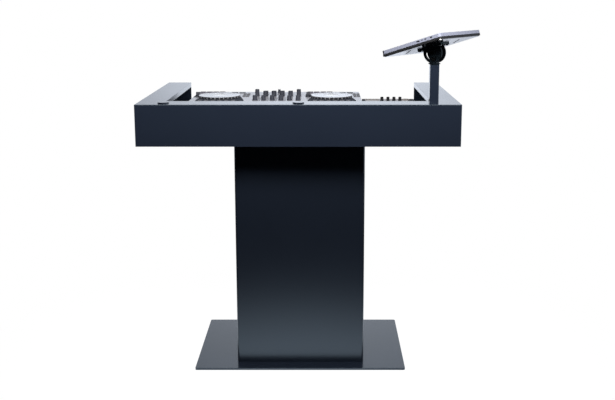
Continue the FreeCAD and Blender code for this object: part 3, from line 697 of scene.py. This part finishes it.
class BOOTH_OT_console_print(bpy.types.Operator):
    """Print the scales round the knobs and beside the faders"""
    bl_idname = "booth.console_print"
    bl_label = "Scales"
    TICK_GAPS = 10
    RING_START = math.radians(140)
    RING_SWEEP = math.radians(-280)
    RING_TICK = 2.2 * MM
    LADDER_GAP = 9.6 * MM
    LONG_TICK = 4.0 * MM
    SHORT_TICK = 2.6 * MM

    def execute(self, context):
        sizes = context.scene.booth_sizes
        dark = moulded("print_dark", roughness=0.5)
        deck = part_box("console_top")[1].z
        shape = bmesh.new()
        for node in MIXER_KNOBS:
            self.ring(shape, node, deck, sizes)
        for node in CHANNEL_FADERS + TEMPO_FADERS:
            self.ladder(shape, node, deck, sizes)
        piece("console_scales", shape, dark, "booth")
        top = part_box("unit_case")[1].z
        shape = bmesh.new()
        for node in UNIT_KNOBS:
            self.ring(shape, node, top, sizes)
        piece("unit_scales", shape, dark, "booth")
        return {"FINISHED"}

    def ring(self, shape, node, deck, sizes):
        """Ticks round a knob, made at the origin and then moved to it."""
        low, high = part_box(node)
        centre = (low + high) / 2
        reach = (high.x - low.x) / 2 + sizes.ring_gap
        placed = set(shape.verts)
        first = slab(shape, (-sizes.tick / 2, reach, 0),
                     (sizes.tick / 2, reach + self.RING_TICK, sizes.print_lift))
        faces = once(f for v in first for f in v.link_faces)
        bmesh.ops.transform(shape, matrix=Matrix.Rotation(self.RING_START, 4, "Z"), verts=first)
        bmesh.ops.spin(shape, geom=first + faces, cent=(0, 0, 0), axis=(0, 0, 1), angle=self.RING_SWEEP,
                       steps=self.TICK_GAPS, use_duplicate=True)
        ticks = [v for v in shape.verts if v not in placed]
        bmesh.ops.translate(shape, vec=(centre.x, centre.y, deck), verts=ticks)

    def ladder(self, shape, node, deck, sizes):
        """Two rows of ticks beside a fader's slot."""
        centre = middle(node)
        first, last = joint(node + "_slide")["range_m"]
        for step in range(self.TICK_GAPS + 1):
            y = centre.y + first + (last - first) * step / self.TICK_GAPS
            long = self.SHORT_TICK if step % (self.TICK_GAPS // 2) else self.LONG_TICK
            for way in (-1, 1):
                x = centre.x + way * (self.LADDER_GAP + long / 2)
                block(shape, x, y, deck, (long, sizes.tick, sizes.print_lift))


class BOOTH_OT_deck_keys(bpy.types.Operator):
    """Add the small keys and the tempo bed of each deck, and the wheel's marker"""
    bl_idname = "booth.deck_keys"
    bl_label = "Deck keys"
    ROW_KEY = (16 * MM, 7 * MM, 2.0 * MM)
    ROW_COUNT = 6
    ROW_PITCH = 27 * MM
    ROW_INSET = 9.5 * MM
    PAIR_KEY = (12 * MM, 16 * MM, 2.0 * MM)
    PAIR_COUNT = 5
    PAIR_START = (99 * MM, 24 * MM)
    PAIR_PITCH = (15 * MM, 22 * MM)
    KEY_ROUNDING = (1.5 * MM, 0.5 * MM)
    BED_WIDTH = 8.8 * MM
    BED_LENGTH = 116 * MM
    BED_OFFSET = 6.6 * MM
    MARKER = (2.4 * MM, 24 * MM, 0.4 * MM)
    MARKER_REACH = 52 * MM
    MARKER_SINK = 0.9 * MM
    MARKER_CORNER = 1.0 * MM

    def execute(self, context):
        lift = context.scene.booth_sizes.print_lift
        pale = self.lit_inlay()
        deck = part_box("console_top")[1].z
        keys = bmesh.new()
        beds = bmesh.new()
        for side in SIDES:
            wheel = "jog_wheel_" + side
            centre = middle(wheel)
            self.add_keys(keys, centre, deck)
            slot = middle("tempo_fader_" + side)
            for way in (-1, 1):
                block(beds, slot.x + way * self.BED_OFFSET, slot.y, deck,
                      (self.BED_WIDTH, self.BED_LENGTH, lift))
            shape = bmesh.new()
            block(shape, centre.x, centre.y - self.MARKER_REACH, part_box(wheel)[1].z - self.MARKER_SINK,
                  self.MARKER, self.MARKER_CORNER)
            piece("jog_marker_" + side, shape, pale, "jog_wheel_" + side)
        piece("deck_keys", keys, moulded("key_grey", roughness=0.5), "booth")
        piece("tempo_beds", beds, moulded("bed_dark", roughness=0.55), "booth")
        return {"FINISHED"}

    def add_keys(self, keys, centre, deck):
        """Row of keys before a wheel and pairs of keys beside it."""
        panel_low, panel_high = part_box("deck_panels")
        for n in range(self.ROW_COUNT):
            x = centre.x + (n - (self.ROW_COUNT - 1) / 2) * self.ROW_PITCH
            block(keys, x, panel_low.y + self.ROW_INSET, panel_high.z, self.ROW_KEY, *self.KEY_ROUNDING)
        for pair in range(self.PAIR_COUNT):
            y = centre.y + self.PAIR_START[1] + self.PAIR_PITCH[1] * pair
            for column in range(2):
                x = centre.x + self.PAIR_START[0] + self.PAIR_PITCH[0] * column
                block(keys, x, y, deck, self.PAIR_KEY, *self.KEY_ROUNDING)

    def lit_inlay(self):
        """Pale lit lens, speckled."""
        colour = TONES["marker_pale"]

        def pattern(flow):
            speck = noise(where(flow), scale=700.0, detail=1.0)
            return {"Base Color": blend(speck, tint(colour, 0.5), tint(colour, 0.9)),
                    "Emission Color": blend(speck, tint(colour, 0.7), tint(colour)),
                    "Roughness": speck * 0.1 + 0.25}
        return finish("marker_pale", {"Emission Strength": 0.2}, pattern)


class BOOTH_OT_level_meters(bpy.types.Operator):
    """Add the level meters between the mixer's columns"""
    bl_idname = "booth.level_meters"
    bl_label = "Level meters"
    COLUMNS = range(2, 6)
    LAMPS = 14
    OFFSET = 17.5 * MM
    NEAR_GAP = 26 * MM
    FAR_GAP = 34 * MM
    BED_WIDTH = 6 * MM
    BED_LIFT = 0.4 * MM
    BED_CORNER = 1.0 * MM
    LAMP_WIDTH = 3.6 * MM
    LAMP_SHARE = 0.72
    LAMP_MARGIN = 2 * MM
    LAMP_LIFT = 0.4 * MM

    def execute(self, context):
        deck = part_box("console_top")[1].z
        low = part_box("mixer_knob_near_1")[0].y - self.NEAR_GAP
        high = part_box("mixer_knob_far_2")[0].y - self.FAR_GAP
        pitch = (high - low - 2 * self.LAMP_MARGIN) / self.LAMPS
        beds = bmesh.new()
        lamps = bmesh.new()
        for column in self.COLUMNS:
            x = middle("mixer_knob_near_%d" % column).x - self.OFFSET
            block(beds, x, (low + high) / 2, deck, (self.BED_WIDTH, high - low, self.BED_LIFT),
                  self.BED_CORNER)
            for n in range(self.LAMPS):
                y = low + self.LAMP_MARGIN + (n + 0.5) * pitch
                block(lamps, x, y, deck + self.BED_LIFT,
                      (self.LAMP_WIDTH, self.LAMP_SHARE * pitch, self.LAMP_LIFT))
        piece("meter_beds", beds, moulded("meter_bed", roughness=0.35), "booth")
        lens = moulded("meter_lens", roughness=0.30, grain=500.0)
        piece("meter_lamps", lamps, lens, "booth")
        return {"FINISHED"}


class BOOTH_OT_unit_face(bpy.types.Operator):
    """Add the effects unit's pads, keys and dial"""
    bl_idname = "booth.unit_face"
    bl_label = "Effects unit face"
    PAD = (28 * MM, 20 * MM, 2.4 * MM)
    PAD_ROWS = 3
    PAD_COLUMNS = 4
    PAD_PITCH = (36 * MM, 27 * MM)
    PAD_INSET = 22 * MM
    PAD_ROUNDING = (3 * MM, 0.8 * MM)
    KEY = (11 * MM, 12 * MM, 1.6 * MM)
    KEY_COLUMNS = 4
    KEY_PITCH = 15 * MM
    KEY_INSET = 16 * MM
    KEY_ROWS = (16 * MM, 38 * MM)
    KEY_ROUNDING = (2 * MM, 0.5 * MM)
    DIAL = ((0, 0), (17 * MM, 0), (17 * MM, 2.4 * MM), (16 * MM, 3.2 * MM), (12 * MM, 3.2 * MM),
            (11 * MM, 2.2 * MM), (0, 2.2 * MM))
    DIAL_INSET = (36 * MM, 34 * MM)

    def execute(self, context):
        low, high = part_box("unit_case")
        centre = (low + high) / 2
        pads = bmesh.new()
        for row in range(self.PAD_ROWS):
            for column in range(self.PAD_COLUMNS):
                x = centre.x + (column - (self.PAD_COLUMNS - 1) / 2) * self.PAD_PITCH[0]
                y = low.y + self.PAD_INSET + self.PAD_PITCH[1] * row
                block(pads, x, y, high.z, self.PAD, *self.PAD_ROUNDING)
        piece("unit_pads", pads, moulded("unit_grey", roughness=0.55), "booth")
        keys = bmesh.new()
        for column in range(self.KEY_COLUMNS):
            x = low.x + self.KEY_INSET + self.KEY_PITCH * column
            for inset in self.KEY_ROWS:
                block(keys, x, high.y - inset, high.z, self.KEY, *self.KEY_ROUNDING)
        dial = Matrix.Translation((high.x - self.DIAL_INSET[0], high.y - self.DIAL_INSET[1], high.z))
        turned(keys, self.DIAL, dial, 36)
        piece("unit_keys", keys, moulded("unit_pale", roughness=0.5), "booth", True)
        return {"FINISHED"}


class BOOTH_OT_tablet_ports(bpy.types.Operator):
    """Add the tablet's ports, its lens and the screws of its head plate"""
    bl_idname = "booth.tablet_ports"
    bl_label = "Tablet ports"
    PORTS = ((34 * MM, 14 * MM, 4.2 * MM), (52 * MM, 5 * MM, 3.6 * MM), (66 * MM, 8 * MM, 4.4 * MM),
             (90 * MM, 9 * MM, 5.2 * MM))
    PORT_LEVEL = 0.6 * MM
    PORT_SINK = 0.4 * MM
    PORT_LIFT = 0.15 * MM
    LENS = ((0, 0), (2.0 * MM, 0), (1.8 * MM, 0.25 * MM), (1.2 * MM, 0.1 * MM), (0, 0.1 * MM))
    LENS_INSET = 4 * MM
    SCREW_PLACES = [(x, y) for x in (-24 * MM, 24 * MM) for y in (-45 * MM, 45 * MM)]
    HEAD_PLATE = 6.0 * MM

    def execute(self, context):
        place = head_matrix()
        dark = moulded("port_black", roughness=0.6)
        piece("tablet_ports", self.ports(place), dark, "tablet_holder")
        low, high = in_head("tablet_glass")
        shape = bmesh.new()
        seat = Matrix.Translation(((low.x + high.x) / 2, high.y - self.LENS_INSET, high.z))
        turned(shape, self.LENS, place @ seat)
        piece("tablet_lens", shape, dark, "tablet_holder", True)
        screws = bmesh.new()
        under = in_head("tilt_bracket")[1].z - self.HEAD_PLATE
        for x, y in self.SCREW_PLACES:
            screw(screws, place @ seat_at((x, y, under), math.pi), context.scene.booth_sizes.screw)
        steel = metal("screw_steel", roughness=0.35, scale=300.0)
        piece("head_screws", screws, steel, "tablet_holder", True)
        return {"FINISHED"}

    def ports(self, place):
        """Rounded ports along one side, each by its place, width and height."""
        low, high = in_head("tablet_body")
        level = (low.z + high.z) / 2 + self.PORT_LEVEL
        side = place @ Matrix.Translation((high.x, 0, level)) @ Matrix.Rotation(QUARTER, 4, "Y")
        shape = bmesh.new()
        for y, wide, tall in self.PORTS:
            slab(shape, (-tall / 2, y - wide / 2, -self.PORT_SINK),
                 (tall / 2, y + wide / 2, self.PORT_LIFT), corner=tall / 2.3, matrix=side)
        return shape


class BOOTH_OT_cover_fixings(bpy.types.Operator):
    """Add the rear cover's screws and the rubber edging of the cable openings"""
    bl_idname = "booth.cover_fixings"
    bl_label = "Rear cover fixings"
    SCREW_GAPS = 4
    SCREW_END = 45 * MM
    SCREW_INSET = 10 * MM
    NOTCH_HALF = 45 * MM
    NOTCH_HEIGHT = 45 * MM
    NOTCH_BEND = 22.5 * MM
    NOTCH_FOOT = 0.3 * MM
    EDGING_SIDES = 12
    BEND_STEPS = 6
    GROMMET = ((62 * MM, 3.2 * MM), (62 * MM, 6.5 * MM), (65 * MM, 7.5 * MM), (71 * MM, 6 * MM),
               (72 * MM, 3.2 * MM), (62 * MM, 3.2 * MM))

    def execute(self, context):
        sizes = context.scene.booth_sizes
        steel = metal("cover_steel", roughness=0.35, scale=300.0)
        rubber = moulded("edging_rubber", roughness=0.8, grain=600.0)
        low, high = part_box("column_rear_cover")
        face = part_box("column_shell")[1].y
        pitch = (high.z - low.z - 2 * self.SCREW_END) / self.SCREW_GAPS
        shape = bmesh.new()
        for way in (-1, 1):
            for n in range(self.SCREW_GAPS + 1):
                place = (way * (high.x - self.SCREW_INSET), face, low.z + self.SCREW_END + n * pitch)
                screw(shape, seat_at(place, -QUARTER), sizes.screw)
        piece("cover_screws", shape, steel, "booth", True)
        piece("notch_edging", self.notch(sizes.trim, low, high), rubber, "booth", True)
        shape = bmesh.new()
        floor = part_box("tray_floor")[0].z
        turned(shape, self.GROMMET, Matrix.Translation((0, 0, floor)), 48)
        piece("floor_grommet", shape, rubber, "booth", True)
        return {"FINISHED"}

    def notch(self, thick, low, high):
        """Round edging that follows the notch in the cover's foot."""
        half = self.NOTCH_HALF
        bend = self.NOTCH_BEND
        y = (low.y + high.y) / 2
        start = low.z + self.NOTCH_FOOT
        rise = self.NOTCH_HEIGHT - bend - self.NOTCH_FOOT
        shape = bmesh.new()
        ring = bmesh.ops.create_circle(shape, segments=self.EDGING_SIDES, radius=thick / 2)["verts"]
        bmesh.ops.translate(shape, vec=(-half, y, start), verts=ring)
        edges = once(e for v in ring for e in v.link_edges)
        bmesh.ops.contextual_create(shape, geom=edges)
        edges = self.run(shape, edges, (0, 0, rise))
        edges = self.turn(shape, edges, (-half + bend, y, start + rise))
        edges = self.run(shape, edges, (2 * (half - bend), 0, 0))
        edges = self.turn(shape, edges, (half - bend, y, start + rise))
        edges = self.run(shape, edges, (0, 0, -rise))
        bmesh.ops.contextual_create(shape, geom=edges)
        return shape

    def run(self, shape, edges, way):
        """Straight stretch of the edging."""
        made = bmesh.ops.extrude_edge_only(shape, edges=edges)["geom"]
        bmesh.ops.translate(shape, vec=way, verts=[g for g in made if isinstance(g, bmesh.types.BMVert)])
        return [g for g in made if isinstance(g, bmesh.types.BMEdge)]

    def turn(self, shape, edges, centre):
        """Quarter bend of the edging."""
        made = bmesh.ops.spin(shape, geom=edges, cent=centre, axis=(0, 1, 0), angle=QUARTER,
                              steps=self.BEND_STEPS)
        return [g for g in made["geom_last"] if isinstance(g, bmesh.types.BMEdge)]


class BOOTH_OT_sockets(bpy.types.Operator):
    """Add the console's signal and power sockets"""
    bl_idname = "booth.sockets"
    bl_label = "Sockets"
    JACKS = 8
    JACK_START = 120 * MM
    JACK_PITCH = 22 * MM
    JACK_ROWS = (-9 * MM, 9 * MM)
    JACK_DEPTH = 7 * MM
    JACK_CHAMFER = 1 * MM
    JACK_FLANGE = 1.2 * MM
    INLETS = 4
    INLET_START = 340 * MM
    INLET_PITCH = 40 * MM
    INLET = ((0, 0.4 * MM), (9 * MM, 0.4 * MM), (9 * MM, 1.5 * MM), (12 * MM, 2.5 * MM), (13 * MM, 0),
             (0, 0))
    POWER_ENDS = (130 * MM, 90 * MM)
    POWER_HALF = 13 * MM
    POWER_DEPTH = 2 * MM

    def execute(self, context):
        low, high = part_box("console_case")
        level = (low.z + high.z) / 2
        barrel = self.barrel(context.scene.booth_sizes.jack / 2)
        jacks = bmesh.new()
        for n in range(self.JACKS):
            for row in self.JACK_ROWS:
                place = (low.x + self.JACK_START + self.JACK_PITCH * n, low.y, level + row)
                turned(jacks, barrel, seat_at(place, QUARTER), 16)
        steel = metal("jack_metal", roughness=0.3, scale=300.0)
        piece("console_jacks", jacks, steel, "booth", True)
        inlets = bmesh.new()
        for n in range(self.INLETS):
            place = (low.x + self.INLET_START + self.INLET_PITCH * n, low.y, level)
            turned(inlets, self.INLET, seat_at(place, QUARTER), 28)
        start, end = (high.x - inset for inset in self.POWER_ENDS)
        slab(inlets, (start, low.y - self.POWER_DEPTH, level - self.POWER_HALF),
             (end, low.y, level + self.POWER_HALF), soft=self.POWER_DEPTH)
        piece("console_inlets", inlets, moulded("inlet_black", roughness=0.6), "booth")
        return {"FINISHED"}

    def barrel(self, half):
        """Outline of a hollow signal socket with a flange at its foot."""
        bore = half * 0.55
        flange = half * 1.35
        return ((bore, 0), (bore, self.JACK_DEPTH), (half * 0.85, self.JACK_DEPTH),
                (half, self.JACK_DEPTH - self.JACK_CHAMFER), (half, self.JACK_FLANGE),
                (flange, self.JACK_FLANGE), (flange, 0), (bore, 0))


class BOOTH_OT_stage(bpy.types.Operator):
    """Set up the camera, the softbox, the pale room and the floor"""
    bl_idname = "booth.stage"
    bl_label = "Stage"
    SENSOR = 36.0
    WALL_EDGE = (-0.30, 0.25)
    WALL_LEAN = 0.3
    WALL_LEVEL = 1.40
    WALL_FALL = 1.75
    WALL_LEAST = 0.3
    SIDE_FALL = 10.0
    SIDE_LEAST = 0.6
    FLOOR_DROP = 0.5 * MM
    FLOOR_TONE = 0.36
    FLOOR_SHADE = 0.10
    FLOOR_MIRROR = 1.06

    def execute(self, context):
        stage = context.scene.booth_stage
        self.camera(context, stage)
        self.softbox(context, stage)
        self.room(context, stage)
        self.floor(context, stage)
        context.scene.view_settings.view_transform = "Standard"
        return {"FINISHED"}

    def camera(self, context, stage):
        """Camera at the photograph's viewing angle."""
        data = bpy.data.cameras.new("camera")
        data.lens = stage.camera_lens
        data.sensor_width = self.SENSOR
        data.shift_x, data.shift_y = stage.camera_shift
        made = bpy.data.objects.new("camera", data)
        made.location = stage.camera_place
        made.rotation_euler = (QUARTER - stage.camera_pitch, 0, 0)
        context.scene.collection.objects.link(made)
        context.scene.camera = made

    def softbox(self, context, stage):
        """Wide key light above the front of the booth."""
        data = bpy.data.lights.new("softbox", "AREA")
        data.shape = "RECTANGLE"
        data.size = stage.key_width
        data.size_y = stage.key_height
        data.energy = stage.key_power
        made = bpy.data.objects.new("softbox", data)
        place = Vector(stage.key_place)
        made.location = place
        made.rotation_euler = (Vector(stage.key_aim) - place).to_track_quat("-Z", "Y").to_euler()
        made.visible_camera = False
        context.scene.collection.objects.link(made)

    def rays(self, flow):
        """Which rays come from the camera and which from a mirror or a glass."""
        camera = flow.node("LightPath", output="Is Camera Ray")
        mirrored = (flow.node("LightPath", output="Is Glossy Ray")
                    + flow.node("LightPath", output="Is Transmission Ray"))
        return camera, flow.maths("MINIMUM", mirrored, 1.0)

    def room(self, context, stage):
        """Pale wall behind the booth and a dim room before it, white where the camera sees it."""
        world = bpy.data.worlds.new("room")
        world.use_nodes = True
        context.scene.world = world
        flow = Flow(world.node_tree)
        way = flow.node("TexCoord", output="Generated")
        side = axis_of(way, "X")
        back = between(axis_of(way, "Y") + side * self.WALL_LEAN, *self.WALL_EDGE)
        height = flow.maths("MAXIMUM", axis_of(way, "Z"), 0.0)
        upright = flow.maths("MAXIMUM", self.WALL_LEVEL - height * self.WALL_FALL, self.WALL_LEAST)
        across = flow.maths("MAXIMUM", 1 - side * side * self.SIDE_FALL, self.SIDE_LEAST)
        camera, mirrored = self.rays(flow)
        seen = flow.maths("MINIMUM", camera + mirrored, 1.0)
        lit = back * (stage.room_back - stage.room_front) + stage.room_front
        strength = camera + (seen - camera) * back * upright * across + (1 - seen) * lit
        tone = blend(seen - camera, (1, 1, 1, 1), tint(stage.room_tint))
        ground = world.node_tree.nodes["Background"]
        world.node_tree.links.new(tone.socket, ground.inputs["Color"])
        world.node_tree.links.new(strength.socket, ground.inputs["Strength"])

    def floor(self, context, stage):
        """Pale floor that shows white and keeps the contact shadow."""
        shape = bmesh.new()
        bmesh.ops.create_grid(shape, x_segments=1, y_segments=1, size=stage.floor_size / 2)
        bmesh.ops.translate(shape, vec=(0, 0, -self.FLOOR_DROP), verts=shape.verts[:])
        mesh = bpy.data.meshes.new("floor")
        shape.to_mesh(mesh)
        shape.free()
        made = bpy.data.objects.new("floor", mesh)
        context.scene.collection.objects.link(made)
        mesh.materials.append(self.floor_finish(stage))

    def floor_finish(self, stage):
        """White where the camera sees it, and in mirrors only in a pool round the booth."""
        made = bpy.data.materials.new("floor")
        made.use_nodes = True
        tree = made.node_tree
        flow = Flow(tree)
        place = flow.node("TexCoord", output="Object")
        reach = flow.node("VectorMath", {"operation": "LENGTH"}, {0: place}, output="Value")
        near = stage.floor_pool - stage.floor_fade
        far = stage.floor_pool + stage.floor_fade
        pool = 1 - between(reach, near, far)
        camera, mirrored = self.rays(flow)
        shader = tree.nodes["Principled BSDF"]
        shader.inputs["Roughness"].default_value = 1.0
        shader.inputs["Specular IOR Level"].default_value = 0.0
        pale = blend(pool, (0, 0, 0, 1), (self.FLOOR_TONE,) * 3 + (1,))
        tree.links.new(pale.socket, shader.inputs["Base Color"])
        tone = blend(mirrored, (1, 1, 1, 1), tint(stage.room_tint))
        tree.links.new(tone.socket, shader.inputs["Emission Color"])
        glow = camera * (1 - pool * self.FLOOR_SHADE) + mirrored * pool * self.FLOOR_MIRROR
        tree.links.new(glow.socket, shader.inputs["Emission Strength"])
        return made


class BOOTH_PT_panel(bpy.types.Panel):
    """Lists the steps that finish the booth"""
    bl_label = "DJ booth"
    bl_idname = "BOOTH_PT_panel"
    bl_space_type = "VIEW_3D"
    bl_region_type = "UI"
    bl_category = "Booth"

    def draw(self, context):
        for step in STEPS:
            self.layout.operator(step.bl_idname)
        for group in GROUPS:
            held = getattr(context.scene, group)
            for name in held.__annotations__:
                self.layout.prop(held, name)


GROUPS = {"booth_paint": PaintFinish, "booth_gear": GearFinish, "booth_sizes": DetailSizes,
          "booth_stage": StageSetup}
STEPS = (BOOTH_OT_steelwork, BOOTH_OT_tablet_arm, BOOTH_OT_console, BOOTH_OT_pointers,
         BOOTH_OT_console_print, BOOTH_OT_deck_keys, BOOTH_OT_level_meters, BOOTH_OT_unit_face,
         BOOTH_OT_tablet_ports, BOOTH_OT_cover_fixings, BOOTH_OT_sockets, BOOTH_OT_stage)


def register():
    for group in GROUPS.values():
        bpy.utils.register_class(group)
    for step in STEPS + (BOOTH_PT_panel,):
        bpy.utils.register_class(step)
    for name, group in GROUPS.items():
        setattr(bpy.types.Scene, name, bpy.props.PointerProperty(type=group))


def unregister():
    for name in GROUPS:
        delattr(bpy.types.Scene, name)
    for step in (BOOTH_PT_panel,) + STEPS[::-1]:
        bpy.utils.unregister_class(step)
    for group in GROUPS.values():
        bpy.utils.unregister_class(group)


def main():
    register()
    bpy.ops.booth.steelwork()
    bpy.ops.booth.tablet_arm()
    bpy.ops.booth.console()
    bpy.ops.booth.pointers()
    bpy.ops.booth.console_print()
    bpy.ops.booth.deck_keys()
    bpy.ops.booth.level_meters()
    bpy.ops.booth.unit_face()
    bpy.ops.booth.tablet_ports()
    bpy.ops.booth.cover_fixings()
    bpy.ops.booth.sockets()
    bpy.ops.booth.stage()
    bpy.context.view_layer.update()


if __name__ == "__main__":
    main()
